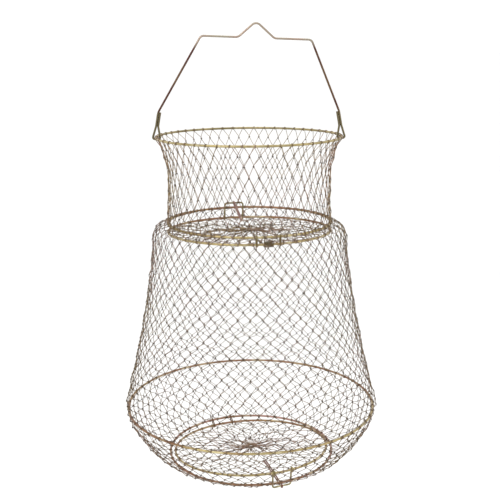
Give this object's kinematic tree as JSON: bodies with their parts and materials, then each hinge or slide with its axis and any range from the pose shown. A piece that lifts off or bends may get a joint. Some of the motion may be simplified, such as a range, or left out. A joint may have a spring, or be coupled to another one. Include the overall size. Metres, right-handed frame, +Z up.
{
  "type": "folding wire crab basket",
  "caption": "Collapsible hanging wire basket for live crabs or fish: round hoops joined by wire netting, open collar, sprung lid, bottom door, wire bail",
  "frame": {"origin": "the hang point: the underside of the hump in the bail's crown, where a rope or hook carries the basket", "axes": "+Z up along the hoops' axis, +X to the right across the bail, -Y to the front, where the door's catch is"},
  "size_m": [0.33, 0.33, 0.5672],
  "materials": {
    "hoop_wire": "yellow-passivated zinc on steel hoop wire, satin, with brown tint and dull patches",
    "net_wire": "thin plated steel net wire, dull, darker at the twisted knots",
    "bail_wire": "plated steel wire, pale on the crown and red-brown on the legs",
    "latch_wire": "copper-brown tinted spring wire",
    "fittings_wire": "olive-brass plated steel wire of the catches, hinge links, spring and gathering rings"
  },
  "bodies": {
    "bail": {"bail": "bail_wire"},
    "rim": {"rim_ring": "hoop_wire", "collar_mesh": "net_wire"},
    "neck": {"neck_ring": "hoop_wire", "body_mesh": "net_wire", "lid_hinge_left": "fittings_wire", "lid_hinge_right": "fittings_wire"},
    "belly": {"belly_ring": "hoop_wire", "base_mesh": "net_wire"},
    "base": {"base_ring": "hoop_wire", "door_hinge_left": "fittings_wire", "door_hinge_right": "fittings_wire"},
    "lid": {"lid_ring": "hoop_wire", "lid_mesh": "net_wire", "lid_gather_ring": "fittings_wire", "lid_catch": "fittings_wire", "lid_spring": "fittings_wire"},
    "door": {"door_ring": "hoop_wire", "door_mesh": "net_wire", "door_gather_ring": "fittings_wire", "door_catch": "fittings_wire"},
    "lid_latch": {"lid_latch": "latch_wire"},
    "door_latch": {"door_latch": "latch_wire"}
  },
  "joints": [
    {"name": "bail_swing", "type": "hinge", "parent": "bail", "child": "rim", "pos_m": [0, 0, -0.13752], "axis": [1, 0, 0], "range_deg": [-60, 60]},
    {"name": "collapse", "type": "slide", "parent": "rim", "child": "base", "axis": [0, 0, 1], "range_m": [0, 0.3674], "deforming": ["base_mesh"]},
    {"name": "neck_slide", "type": "slide", "parent": "rim", "child": "neck", "axis": [0, 0, 1], "range_m": [0, 0.087], "deforming": ["collar_mesh"]},
    {"name": "belly_slide", "type": "slide", "parent": "rim", "child": "belly", "axis": [0, 0, 1], "range_m": [0, 0.3095], "deforming": ["body_mesh"]},
    {"name": "lid_hinge", "type": "hinge", "parent": "neck", "child": "lid", "pos_m": [0.01242, -0.09886, -0.25007], "axis": [0.9759, 0.2181, 0], "range_deg": [-70, 2.3], "stiffness_Nm_per_rad": 0.05, "springref_deg": 137.51, "deforming": ["lid_spring"]},
    {"name": "door_hinge", "type": "hinge", "parent": "base", "child": "door", "pos_m": [-0.04936, 0.09127, -0.55558], "axis": [0.9171, 0.3987, 0], "range_deg": [-55, 4.4]},
    {"name": "lid_latch_swing", "type": "hinge", "parent": "lid", "child": "lid_latch", "pos_m": [-0.03072, 0.09413, -0.23442], "axis": [-0.9759, -0.2181, 0], "range_deg": [0, 210]},
    {"name": "door_latch_swing", "type": "hinge", "parent": "door", "child": "door_latch", "pos_m": [0.02827, -0.08729, -0.56166], "axis": [-0.9171, -0.3987, 0], "range_deg": [0, 170]}
  ],
  "couplings": [
    {"joint": "neck_slide", "follows": "collapse", "ratio": 0.2363},
    {"joint": "belly_slide", "follows": "collapse", "ratio": 0.8419}
  ]
}
